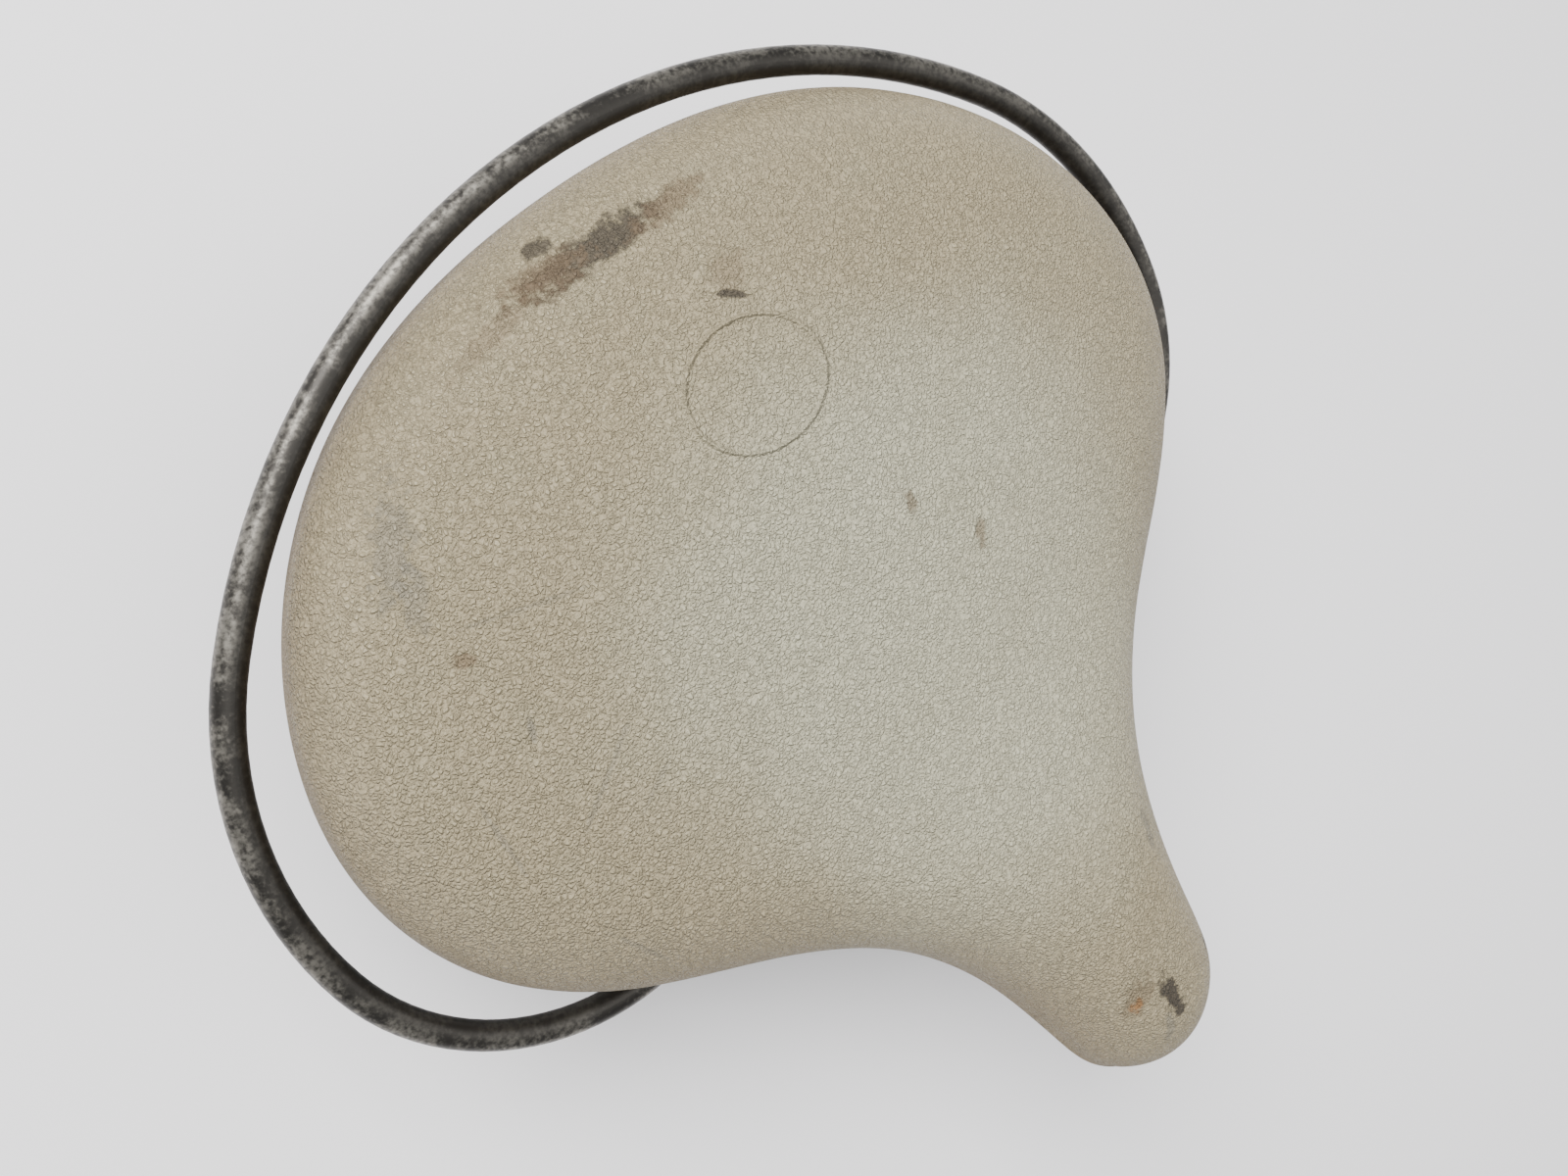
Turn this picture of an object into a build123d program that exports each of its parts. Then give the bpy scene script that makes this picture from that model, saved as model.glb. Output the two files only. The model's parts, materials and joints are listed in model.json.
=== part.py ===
from build123d import *
import math
import os

# A sprung saddle with a steel rod hoop around its rear.
# Millimetres. +Z is up, the nose points to -Y and the rider's left is +X.
# The origin is the centre of the seat post clamp, with the post along Z.

# --- seat top ---------------------------------------------------------------
SEAT_WIDTH = 231.0            # across the widest part of the cover
SEAT_LENGTH = 245.0           # rear edge to nose tip
SEAT_REAR = 124.0             # rear edge behind the post axis
CONTOUR_HEIGHT = 66.0         # widest line of the cover above the clamp centre
RIM_DROP = 13.0               # underside of the cover below that line
RIM_RISE = 6.5                # how far both ends of the underside curve up
CROWN_DROP = 12.0             # fall of the top from its middle to its edge
NOSE_CROWN_HALF = 32.0        # half width over which the nose falls by CROWN_DROP
TOP_ROUND = 12.0              # rounding of the cover's upper edge
BOTTOM_ROUND = 3.0            # rounding of the cover's lower edge

# Outline from the middle of the rear edge to the nose tip:
# (share of the half width, share of the length).
OUTLINE = [
    (0.0, 0.0),
    (0.60, 0.064),
    (0.90, 0.20),
    (1.0, 0.345),
    (0.945, 0.465),
    (0.7875, 0.556),
    (0.533, 0.636),
    (0.35, 0.716),
    (0.24, 0.82),
    (0.20, 0.912),
    (0.173, 0.956),
    (0.10, 0.988),
    (0.0, 1.0),
]
# Middle line of the top: (share of the length, height above CONTOUR_HEIGHT).
# Its two ends run past the seat, so that the surface covers the whole outline.
SPINE = [
    (-0.2, 8.0),
    (0.0, 19.0),
    (0.164, 26.0),
    (0.384, 24.5),
    (0.584, 19.5),
    (0.796, 19.0),
    (1.0, 12.5),
    (1.2, 4.0),
]

COVER_THICK = 1.2
HEM_WIDTH = 12.0              # turned under, measured from the outline
PAD_SIDE_THICK = 3.0
PAD_TOP_THICK = 9.0
PAN_THICK = 1.2
PAN_ROUND = 9.0               # rounding of the pan's upper edge
FLANGE_WIDTH = 8.5            # turned inward at the foot of the pan wall
HEM_BAND_WIDTH = 2.0
SOFT_GAP = 0.3                # between the cover, the padding and the pan

# --- rod hoop around the rear -------------------------------------------------
ROD_DIAMETER = 6.35
RAIL_REAR_GAP = 7.5           # rear edge of the seat to the rod's centre line
RAIL_SIDE_GAP = 14.2          # widest part of the seat to the rod's centre line
RAIL_CORNER_RADIUS = 52.0     # front corner, where the rod turns in under the seat
RAIL_REAR_HEIGHT = 12.8       # rod at the rear above CONTOUR_HEIGHT
RAIL_TAB_HEIGHT = 45.7        # flattened rod ends above the clamp centre
RAIL_REAR_SPAN = 45.0         # half angle of the rear arc, degrees
RAIL_SIDE_TURN = 5.0          # how far the side arc turns past straight ahead, degrees
TAB_WIDTH = 12.0
TAB_THICK = 3.0
TAB_INNER = 22.0              # inner end of each flattened end from the middle
TAB_OUTER = 48.0
TAB_HOLE = 30.0               # bolt from the middle

# --- sheet metal inside the pan -----------------------------------------------
STRIP_THICK = 2.5
RIVET_RADIUS = 2.5
RIVET_HEAD_RADIUS = 4.2
RIVET_HEAD_THICK = 1.8
RIVET_FIT = 0.1
FOOT_GAP = 0.3                # bracket foot below the pan
BRACKET_DEPTH = 20.0          # rail bracket along Y
BRACKET_LEG = 40.5            # outer face of its legs from the middle
BRACKET_FOOT = 13.5           # length of each foot outward from its leg
FOOT_MARGIN = 9.5             # foot end to the seat outline
BRIDGE_DEPTH = 26.0           # rear bridge along Y
BRIDGE_FOOT = 14.0
BRIDGE_MARGIN = 12.0
NOSE_STRIP = 14.0             # nose bracket across X
NOSE_FOOT = 24.0              # its foot along Y
NOSE_RIVET_INSET = 5.0

# --- chassis wire and springs ---------------------------------------------------
WIRE_DIAMETER = 7.0
WIRE_HALF_SPACING = 20.0      # the two straight runs from the middle
WIRE_HEIGHT = 14.0            # the straight runs above the clamp bolt
WIRE_STRAIGHT_FRONT = 28.0    # bends of each run ahead of and behind the clamp bolt
WIRE_STRAIGHT_REAR = 29.0
WIRE_NOSE_HALF = 16.0
WIRE_NOSE_BEND = 8.0
WIRE_FRONT_BEND = 20.0
WIRE_REAR_BEND = 12.0
PIVOT_INSET = 32.0            # nose pivot behind the nose tip
PIVOT_HEIGHT = 50.0
PIVOT_FIT = 0.1
EYE_WALL = 2.6
SPRING_INSET = 50.0           # spring axis ahead of the seat's rear edge
SPRING_HALF_SPACING = 50.0
SPRING_RADIUS = 16.0          # mean radius of the coil
SPRING_WIRE = 4.6
SPRING_TURNS = 4.85
BOSS_RADIUS = 10.0
BOSS_HALF_HEIGHT = 4.0
CROSSBAR_THICK = 2.5
CUP_THICK = 1.6
CUP_RIM = 6.0
CUP_GAP = 0.5                 # cup wall to the coil
BRIDGE_HEIGHT = 0.7           # rear bridge above CONTOUR_HEIGHT

# --- screws and nuts --------------------------------------------------------------
M6_RADIUS = 3.0
M6_HEX = 5.77                 # across corners, halved
M6_HEAD = 4.0
M6_NUT = 5.0
M6_TAIL = 1.0                 # screw past its nut
M6_WASHER_RADIUS = 6.5
M6_WASHER_THICK = 1.2
M8_RADIUS = 4.0
M8_HEX = 7.5
M8_HEAD = 5.6
M8_NUT = 6.5
M8_TAIL = 2.9
M8_WASHER_RADIUS = 8.0
M8_WASHER_THICK = 1.6
BOLT_HOLE_GAP = 0.2
THREAD_FIT = 0.08

# --- seat post clamp ----------------------------------------------------------------
POST_RADIUS = 11.1            # a 22.2 mm seat post
COLLAR_WALL = 3.0
COLLAR_HALF_HEIGHT = 12.0
COLLAR_SLOT_HALF = 4.0
EAR_THICK = 4.0
EAR_RADIUS = 12.0
SERRATION_STEP = 1.0          # raised face of each ear around the bolt
CLAMP_BOLT_Y = 28.0
CHEEK_GAP = 0.3
CHEEK_PLATE = 4.0
CHEEK_RADIUS = 11.0
JAW_HALF_LENGTH = 13.0
JAW_TOP = 20.5
JAW_BOTTOM = 9.0
JAW_SPLIT = 0.3               # each jaw face from the middle of the wire
SPACER_RADIUS = 8.0
WIRE_FIT = 0.1                # groove around the wire
PIN_FIT = 0.08                # ear hole around the clamp bolt

OUTLINE_SAMPLES = 72
SURFACE_ROWS = 14
SURFACE_COLUMNS = 13
REACH = 200.0                 # taller, wider and longer than anything that it cuts

HALF_WIDTH = SEAT_WIDTH / 2
SEAT_NOSE = SEAT_REAR - SEAT_LENGTH
RIM_HEIGHT = CONTOUR_HEIGHT - RIM_DROP
ROD_RADIUS = ROD_DIAMETER / 2
WIRE_RADIUS = WIRE_DIAMETER / 2
SIDES = {"left": 1, "right": -1}
DOWN = Vector(0, 0, -1)

os.makedirs("parts", exist_ok=True)


# --- small helpers --------------------------------------------------------------------
def box(x0, x1, y0, y1, z0, z1):
    middle = Pos((x0 + x1) / 2, (y0 + y1) / 2, (z0 + z1) / 2)
    return middle * Box(abs(x1 - x0), abs(y1 - y0), abs(z1 - z0))


def upright(x, y, z0, z1, radius):
    return Pos(x, y, (z0 + z1) / 2) * Cylinder(radius, abs(z1 - z0))


def crosswise(x0, x1, y, z, radius):
    return Pos((x0 + x1) / 2, y, z) * Rot(0, 90, 0) * Cylinder(radius, abs(x1 - x0))


def hexagon(z0, z1, radius):
    prism = extrude(RegularPolygon(radius, 6), z1 - z0)
    return Pos(0, 0, z0) * prism


def screw(radius, hex_radius, head, length):
    """A screw along +Z with its bearing face at z = 0 and its head below."""
    return hexagon(-head, 0, hex_radius) + upright(0, 0, 0, length, radius)


def nut(radius, hex_radius, thick):
    return hexagon(0, thick, hex_radius) - upright(0, 0, -1, thick + 1, radius + THREAD_FIT)


def washer(radius, outer_radius, thick):
    return upright(0, 0, 0, thick, outer_radius) - upright(0, 0, -1, thick + 1, radius + BOLT_HOLE_GAP)


# --- seat shape -------------------------------------------------------------------------
def outline_curve():
    """The whole outline, from the rear down the +X side to the nose and back."""
    half = [(across * HALF_WIDTH, SEAT_REAR - along * SEAT_LENGTH) for across, along in OUTLINE]
    mirrored = [(-x, y) for x, y in reversed(half[1:-1])]
    return Spline(*half, *mirrored, periodic=True)


def spine_curve():
    points = [(0, SEAT_REAR - along * SEAT_LENGTH, CONTOUR_HEIGHT + rise) for along, rise in SPINE]
    return Spline(*points)


OUTLINE_CURVE = outline_curve()
SPINE_CURVE = spine_curve()


def rim_height(y):
    middle = SEAT_REAR - SEAT_LENGTH / 2
    return RIM_HEIGHT + RIM_RISE * ((y - middle) / (SEAT_LENGTH / 2)) ** 2


def position_at_y(curve, y, end=1.0):
    """The point at the given y on a curve that runs forward from 0 to end."""
    low, high = 0.0, end
    while high - low > 1e-6:
        middle = (low + high) / 2
        if (curve @ middle).Y > y:
            low = middle
        else:
            high = middle
    return curve @ low


def outline_half_width(y):
    return position_at_y(OUTLINE_CURVE, y, 0.5).X


def outline_y(half_width):
    """Where the outline ahead of its widest point has this half width."""
    low, high = 0.2, 0.45
    while high - low > 1e-6:
        middle = (low + high) / 2
        if (OUTLINE_CURVE @ middle).X > half_width:
            low = middle
        else:
            high = middle
    return (OUTLINE_CURVE @ low).Y


def crown_half_width(y):
    """Half width over which the top falls by about CROWN_DROP."""
    share = (SEAT_REAR - y) / SEAT_LENGTH
    share = min(max((0.88 - share) / 0.5, 0.0), 1.0)
    smooth = share * share * (3 - 2 * share)
    return NOSE_CROWN_HALF + (HALF_WIDTH - NOSE_CROWN_HALF) * smooth


def top_height(x, y):
    fall = (x / crown_half_width(y)) ** 2
    return position_at_y(SPINE_CURVE, y).Z - CROWN_DROP * fall / (1 + 0.15 * fall)


def outline_face(inset):
    """The seat's outline, drawn in by inset, as a face at z = 0."""
    points = []
    for step in range(OUTLINE_SAMPLES):
        at = step / OUTLINE_SAMPLES
        along = OUTLINE_CURVE % at
        points.append(OUTLINE_CURVE @ at + Vector(along.Y, -along.X) * inset)
    return Face(Wire([Spline(*points, periodic=True)]))


def column(inset):
    return extrude(outline_face(inset), REACH, dir=(0, 0, 1))


def top_cutter(lower):
    """Everything under the top surface, which is moved down by lower."""
    start = SEAT_REAR + SEAT_LENGTH * 0.15
    end = SEAT_NOSE - SEAT_LENGTH * 0.15
    rows = []
    for row in range(SURFACE_ROWS):
        y = start + (end - start) * row / (SURFACE_ROWS - 1)
        points = []
        for step in range(SURFACE_COLUMNS):
            x = HALF_WIDTH * 1.15 * (2 * step / (SURFACE_COLUMNS - 1) - 1)
            points.append(Vector(x, y, top_height(x, y) - lower))
        rows.append(points)
    surface = Face.make_surface_from_array_of_points(rows, tol=0.05, min_deg=3, max_deg=3)
    return Solid.extrude(surface, DOWN * REACH)


def rim_slab(rise, thick):
    """A slab whose top is the rim's curved underside, moved up by rise."""
    stations = [SEAT_REAR + SEAT_LENGTH * (0.15 - 1.3 * step / 4) for step in range(5)]
    upper = Spline(*[(0, y, rim_height(y) + rise) for y in stations])
    lower = Pos(0, 0, -thick) * upper
    edges = [upper.edge(), Line(upper @ 1, lower @ 1), lower.edge(), Line(lower @ 0, upper @ 0)]
    return Pos(-REACH, 0, 0) * extrude(make_face(edges), 2 * REACH, dir=(1, 0, 0))


def rim_loops(body):
    """The edges that run around a seat shape, lowest first."""
    loops = [edge for edge in body.edges() if abs((edge % 0.5).Z) < 0.7]
    return sorted(loops, key=lambda edge: edge.center().Z)


def cushion(side, lower, rise, round_top):
    """The seat shape drawn in at the side and the top, with its underside raised."""
    body = column(side) & top_cutter(lower)
    body = body - rim_slab(rise, REACH)
    body = body.solid()
    return body.fillet(round_top, [rim_loops(body)[-1]])


def foot_solids():
    """Two seat shapes: up to the top of a bracket's foot, and up to its underside."""
    top = PAN_TOP_LOWER + PAN_THICK + FOOT_GAP
    upper = cushion(PAN_SIDE + PAN_THICK, top, -RIM_HEIGHT, PAN_ROUND - PAN_THICK)
    lower = Pos(0, 0, -STRIP_THICK) * upper
    return upper, lower


PAD_SIDE = COVER_THICK + SOFT_GAP
PAN_SIDE = PAD_SIDE + PAD_SIDE_THICK + SOFT_GAP
PAN_TOP_LOWER = PAD_SIDE + PAD_TOP_THICK + SOFT_GAP
SHELL_RISE = COVER_THICK + SOFT_GAP
PAN_BODY = cushion(PAN_SIDE, PAN_TOP_LOWER, SHELL_RISE, PAN_ROUND)
FOOT_UPPER, FOOT_LOWER = foot_solids()


# --- places that several pieces share --------------------------------------------------
BRACKET_Y = outline_y(BRACKET_LEG + BRACKET_FOOT + FOOT_MARGIN) + BRACKET_DEPTH / 2
BRIDGE_Y = SEAT_REAR - SPRING_INSET
BRIDGE_FOOT_END = outline_half_width(BRIDGE_Y + BRIDGE_DEPTH / 2) - BRIDGE_MARGIN
BRIDGE_LEG = BRIDGE_FOOT_END - BRIDGE_FOOT
BRIDGE_UNDER = CONTOUR_HEIGHT + BRIDGE_HEIGHT
BRIDGE_TOP = BRIDGE_UNDER + STRIP_THICK
PIVOT_Y = SEAT_NOSE + PIVOT_INSET
BRACKET_UNDER = RAIL_TAB_HEIGHT + TAB_THICK / 2
BRACKET_TOP = BRACKET_UNDER + STRIP_THICK
BOSS_LOW = WIRE_HEIGHT - BOSS_HALF_HEIGHT
BOSS_HIGH = WIRE_HEIGHT + BOSS_HALF_HEIGHT
CROSSBAR_LOW = BOSS_LOW - CROSSBAR_THICK
SPRING_LOW = BOSS_HIGH + CUP_THICK
SPRING_HIGH = BRIDGE_UNDER - CUP_THICK
BRACKET_RIVETS = [(BRACKET_LEG + BRACKET_FOOT * 0.55, BRACKET_Y + step) for step in (-5.0, 5.0)]
BRIDGE_RIVETS = [(BRIDGE_LEG + BRIDGE_FOOT / 2, BRIDGE_Y + step) for step in (-7.0, 7.0)]
NOSE_RIVETS = [PIVOT_Y + side * (NOSE_FOOT / 2 - NOSE_RIVET_INSET) for side in (-1, 1)]


def rivet_places():
    """Every rivet's name and place in the pan."""
    places = {}
    for side, sign in SIDES.items():
        for number, (x, y) in enumerate(BRACKET_RIVETS, 1):
            places[f"rail_bracket_rivet_{side}_{number}"] = (sign * x, y)
        for number, (x, y) in enumerate(BRIDGE_RIVETS, 1):
            places[f"bridge_rivet_{side}_{number}"] = (sign * x, y)
    for number, y in enumerate(NOSE_RIVETS, 1):
        places[f"nose_rivet_{number}"] = (0.0, y)
    return places


RIVETS = rivet_places()


def rivet_holes(names):
    holes = []
    for name, (x, y) in RIVETS.items():
        if name.startswith(names):
            holes.append(upright(x, y, RIM_HEIGHT, RIM_HEIGHT + REACH, RIVET_RADIUS + RIVET_FIT))
    return holes


# --- soft top and pan ---------------------------------------------------------------------
def make_cover():
    outside = cushion(0, 0, 0, TOP_ROUND)
    outside = outside.fillet(BOTTOM_ROUND, [rim_loops(outside)[0]])
    inside = cushion(COVER_THICK, COVER_THICK, COVER_THICK, TOP_ROUND - COVER_THICK)
    opening = extrude(outline_face(HEM_WIDTH), CONTOUR_HEIGHT, dir=(0, 0, 1))
    return outside - inside - opening


def make_padding():
    side = PAD_SIDE + PAD_SIDE_THICK
    outside = cushion(PAD_SIDE, PAD_SIDE, SHELL_RISE, TOP_ROUND - PAD_SIDE)
    inside = cushion(side, PAD_SIDE + PAD_TOP_THICK, -RIM_HEIGHT, PAN_ROUND + SOFT_GAP)
    return outside - inside


def make_seat_pan():
    side = PAN_SIDE + PAN_THICK
    lower = PAN_TOP_LOWER + PAN_THICK
    inside = cushion(side, lower, SHELL_RISE + PAN_THICK, PAN_ROUND - PAN_THICK)
    pan = PAN_BODY - inside
    opening = extrude(outline_face(PAN_SIDE + FLANGE_WIDTH), CONTOUR_HEIGHT, dir=(0, 0, 1))
    return pan - opening - rivet_holes(("rail", "bridge", "nose"))


def make_hem_band():
    inset = HEM_WIDTH + SOFT_GAP
    ring = column(inset) - column(inset + HEM_BAND_WIDTH)
    return ring & rim_slab(COVER_THICK, COVER_THICK)


# --- rod hoop -------------------------------------------------------------------------------
def rail_plane():
    """The hoop's flat plane: local X across, local Y back and up from the tabs."""
    run = SEAT_REAR + RAIL_REAR_GAP - BRACKET_Y
    rise = CONTOUR_HEIGHT + RAIL_REAR_HEIGHT - RAIL_TAB_HEIGHT
    tilt = math.atan2(rise, run)
    normal = (0, -math.sin(tilt), math.cos(tilt))
    plane = Plane(origin=(0, BRACKET_Y, RAIL_TAB_HEIGHT), x_dir=(1, 0, 0), z_dir=normal)
    return plane, math.hypot(run, rise)


def rail_path(depth):
    """Tangent arcs: front corner, side and rear, and their mirror images."""
    half = HALF_WIDTH + RAIL_SIDE_GAP
    rear = math.radians(RAIL_REAR_SPAN)
    turn = math.sin(math.radians(RAIL_SIDE_TURN))
    lean = (1 - math.sin(rear)) / math.cos(rear)
    corner = RAIL_CORNER_RADIUS
    side = (depth - lean * half - corner * (1 - turn)) / (1 - lean + turn)
    back = side + (half - side) / math.cos(rear)
    side_x = half - side
    side_y = depth - back + (back - side) * math.sin(rear)
    corner_x = side_x + (side - corner) * math.cos(math.radians(RAIL_SIDE_TURN))
    edges = [
        Line((TAB_OUTER, 0), (corner_x, 0)),
        CenterArc((corner_x, corner), corner, -90, 90 - RAIL_SIDE_TURN),
        CenterArc((side_x, side_y), side, -RAIL_SIDE_TURN, RAIL_REAR_SPAN + RAIL_SIDE_TURN),
        CenterArc((0, depth - back), back, RAIL_REAR_SPAN, 180 - 2 * RAIL_REAR_SPAN),
        CenterArc((-side_x, side_y), side, 180 - RAIL_REAR_SPAN, RAIL_REAR_SPAN + RAIL_SIDE_TURN),
        CenterArc((-corner_x, corner), corner, 180 + RAIL_SIDE_TURN, 90 - RAIL_SIDE_TURN),
        Line((-corner_x, 0), (-TAB_OUTER, 0)),
    ]
    return Wire(edges)


def make_crash_rail():
    plane, depth = rail_plane()
    path = plane * rail_path(depth)
    section = Plane(origin=path @ 0, z_dir=path % 0) * Circle(ROD_RADIUS)
    rail = sweep(section, path=path)
    half_tab = TAB_WIDTH / 2
    low = RAIL_TAB_HEIGHT - TAB_THICK / 2
    for sign in SIDES.values():
        tab = box(sign * (TAB_INNER + half_tab), sign * (TAB_OUTER + 1),
                  BRACKET_Y - half_tab, BRACKET_Y + half_tab, low, BRACKET_UNDER)
        tab += upright(sign * (TAB_INNER + half_tab), BRACKET_Y, low, BRACKET_UNDER, half_tab)
        rail += tab
        rail -= upright(sign * TAB_HOLE, BRACKET_Y, 0, REACH, M6_RADIUS + BOLT_HOLE_GAP)
    return rail


# --- brackets in the pan ------------------------------------------------------------------------
def make_rail_bracket():
    front, back = BRACKET_Y - BRACKET_DEPTH / 2, BRACKET_Y + BRACKET_DEPTH / 2
    bracket = box(-BRACKET_LEG, BRACKET_LEG, front, back, BRACKET_UNDER, BRACKET_TOP)
    for sign in SIDES.values():
        inner, outer = sign * (BRACKET_LEG - STRIP_THICK), sign * (BRACKET_LEG + BRACKET_FOOT)
        leg = box(inner, sign * BRACKET_LEG, front, back, BRACKET_UNDER, REACH)
        slab = box(inner, outer, front, back, 0, REACH)
        bracket += leg & FOOT_UPPER
        bracket += (slab & FOOT_UPPER) - FOOT_LOWER
        bracket -= upright(sign * TAB_HOLE, BRACKET_Y, 0, BRACKET_TOP + 1, M6_RADIUS + BOLT_HOLE_GAP)
    return bracket - rivet_holes("rail")


def make_rear_bridge():
    front, back = BRIDGE_Y - BRIDGE_DEPTH / 2, BRIDGE_Y + BRIDGE_DEPTH / 2
    bridge = box(-BRIDGE_LEG, BRIDGE_LEG, front, back, BRIDGE_UNDER, BRIDGE_TOP)
    for sign in SIDES.values():
        inner, outer = sign * (BRIDGE_LEG - STRIP_THICK), sign * BRIDGE_FOOT_END
        leg = box(inner, sign * BRIDGE_LEG, front, back, BRIDGE_UNDER, REACH)
        slab = box(inner, outer, front, back, 0, REACH)
        bridge += leg & FOOT_UPPER
        bridge += (slab & FOOT_UPPER) - FOOT_LOWER
        hole = M6_RADIUS + BOLT_HOLE_GAP
        bridge -= upright(sign * SPRING_HALF_SPACING, BRIDGE_Y, 0, BRIDGE_TOP + 1, hole)
    return bridge - rivet_holes("bridge")


def make_nose_bracket():
    half = NOSE_STRIP / 2
    bore = WIRE_RADIUS + PIVOT_FIT
    leg_half = STRIP_THICK / 2
    leg = box(-half, half, PIVOT_Y - leg_half, PIVOT_Y + leg_half, PIVOT_HEIGHT, REACH)
    slab = box(-half, half, PIVOT_Y - NOSE_FOOT / 2, PIVOT_Y + NOSE_FOOT / 2, 0, REACH)
    bracket = (leg & FOOT_UPPER) + ((slab & FOOT_UPPER) - FOOT_LOWER)
    bracket += crosswise(-half, half, PIVOT_Y, PIVOT_HEIGHT, bore + EYE_WALL)
    bracket -= crosswise(-half - 1, half + 1, PIVOT_Y, PIVOT_HEIGHT, bore)
    return bracket - rivet_holes("nose")


def make_rivet(x, y):
    under = top_height(x, y) - PAN_TOP_LOWER - PAN_THICK - FOOT_GAP - STRIP_THICK
    head = upright(x, y, under - RIVET_HEAD_THICK, under + RIVET_HEAD_THICK, RIVET_HEAD_RADIUS)
    shank = upright(x, y, under - RIVET_HEAD_THICK, REACH, RIVET_RADIUS)
    head = head & (Pos(0, 0, -RIVET_FIT) * FOOT_LOWER)
    return head + (shank & PAN_BODY)


# --- chassis wire, crossbar and springs ------------------------------------------------------------
def make_chassis_wire():
    spring = (SPRING_HALF_SPACING, BRIDGE_Y, WIRE_HEIGHT)
    rear = (WIRE_HALF_SPACING, CLAMP_BOLT_Y + WIRE_STRAIGHT_REAR, WIRE_HEIGHT)
    front = (WIRE_HALF_SPACING, CLAMP_BOLT_Y - WIRE_STRAIGHT_FRONT, WIRE_HEIGHT)
    nose = (WIRE_NOSE_HALF, PIVOT_Y, PIVOT_HEIGHT)
    half = [spring, rear, front, nose]
    mirrored = [(-x, y, z) for x, y, z in reversed(half)]
    bends = [WIRE_REAR_BEND, WIRE_FRONT_BEND, WIRE_NOSE_BEND]
    path = FilletPolyline(*half, *mirrored, radius=bends + bends[::-1])
    section = Plane(origin=path @ 0, z_dir=path % 0) * Circle(WIRE_RADIUS)
    wire = sweep(section, path=path)
    for sign in SIDES.values():
        wire += upright(sign * SPRING_HALF_SPACING, BRIDGE_Y, BOSS_LOW, BOSS_HIGH, BOSS_RADIUS)
        wire -= upright(sign * SPRING_HALF_SPACING, BRIDGE_Y, 0, REACH, M6_RADIUS + BOLT_HOLE_GAP)
    return wire


def make_rear_crossbar():
    span = SPRING_HALF_SPACING
    bar = box(-span, span, BRIDGE_Y - BOSS_RADIUS, BRIDGE_Y + BOSS_RADIUS, CROSSBAR_LOW, BOSS_LOW)
    for sign in SIDES.values():
        bar += upright(sign * span, BRIDGE_Y, CROSSBAR_LOW, BOSS_LOW, BOSS_RADIUS)
        bar -= upright(sign * span, BRIDGE_Y, 0, REACH, M6_RADIUS + BOLT_HOLE_GAP)
    return bar


def make_coil_spring():
    """One spring about the Z axis, ground flat at both ends."""
    height = SPRING_HIGH - SPRING_LOW
    path = Helix(height / SPRING_TURNS, height, SPRING_RADIUS)
    section = Plane(origin=path @ 0, z_dir=path % 0) * Circle(SPRING_WIRE / 2)
    coil = sweep(section, path=path, is_frenet=True)
    wide = SPRING_RADIUS + SPRING_WIRE
    return Pos(0, 0, SPRING_LOW) * (coil & upright(0, 0, 0, height, wide))


def make_cup():
    """A spring cup that opens upward, with the underside of its floor at z = 0."""
    inner = SPRING_RADIUS + SPRING_WIRE / 2 + CUP_GAP
    cup = upright(0, 0, 0, CUP_THICK + CUP_RIM, inner + CUP_THICK)
    cup -= upright(0, 0, CUP_THICK, CUP_THICK + CUP_RIM + 1, inner)
    return cup - upright(0, 0, -1, CUP_THICK + 1, M6_RADIUS + BOLT_HOLE_GAP)


# --- seat post clamp -----------------------------------------------------------------------------------
def make_post_collar():
    outer = POST_RADIUS + COLLAR_WALL
    high = COLLAR_HALF_HEIGHT
    collar = upright(0, 0, -high, high, outer)
    ear_outer = COLLAR_SLOT_HALF + EAR_THICK
    for sign in SIDES.values():
        inner = sign * COLLAR_SLOT_HALF
        collar += box(inner, sign * ear_outer, POST_RADIUS / 2, CLAMP_BOLT_Y, -high, high)
        collar += crosswise(inner, sign * ear_outer, CLAMP_BOLT_Y, 0, EAR_RADIUS)
        collar += crosswise(inner, sign * (ear_outer + SERRATION_STEP), CLAMP_BOLT_Y, 0, CHEEK_RADIUS)
    collar -= upright(0, 0, -high - 1, high + 1, POST_RADIUS)
    collar -= box(-COLLAR_SLOT_HALF, COLLAR_SLOT_HALF, 0, REACH, -high - 1, high + 1)
    return collar - crosswise(-REACH, REACH, CLAMP_BOLT_Y, 0, M8_RADIUS + PIN_FIT)


CHEEK_INNER = COLLAR_SLOT_HALF + EAR_THICK + SERRATION_STEP + CHEEK_GAP
JAW_OUTER = WIRE_HALF_SPACING + WIRE_RADIUS + 3.5
WIRE_GROOVE = WIRE_RADIUS + WIRE_FIT


def jaw(x0, x1):
    front, back = CLAMP_BOLT_Y - JAW_HALF_LENGTH, CLAMP_BOLT_Y + JAW_HALF_LENGTH
    block = box(x0, x1, front, back, JAW_BOTTOM, JAW_TOP)
    groove = Pos(WIRE_HALF_SPACING, CLAMP_BOLT_Y, WIRE_HEIGHT) * Rot(90, 0, 0) * Cylinder(WIRE_GROOVE, REACH)
    return block - groove


def cheek_plate(x0, x1):
    plate = crosswise(x0, x1, CLAMP_BOLT_Y, 0, CHEEK_RADIUS)
    return plate + box(x0, x1, CLAMP_BOLT_Y - CHEEK_RADIUS, CLAMP_BOLT_Y + CHEEK_RADIUS, 0, JAW_BOTTOM)


def bolt_hole():
    return crosswise(-REACH, REACH, CLAMP_BOLT_Y, 0, M8_RADIUS + BOLT_HOLE_GAP)


def make_inner_cheek():
    """The left inner cheek, between the collar's ear and the wire."""
    cheek = cheek_plate(CHEEK_INNER, CHEEK_INNER + CHEEK_PLATE)
    cheek += jaw(CHEEK_INNER, WIRE_HALF_SPACING - JAW_SPLIT)
    return cheek - bolt_hole()


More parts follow.
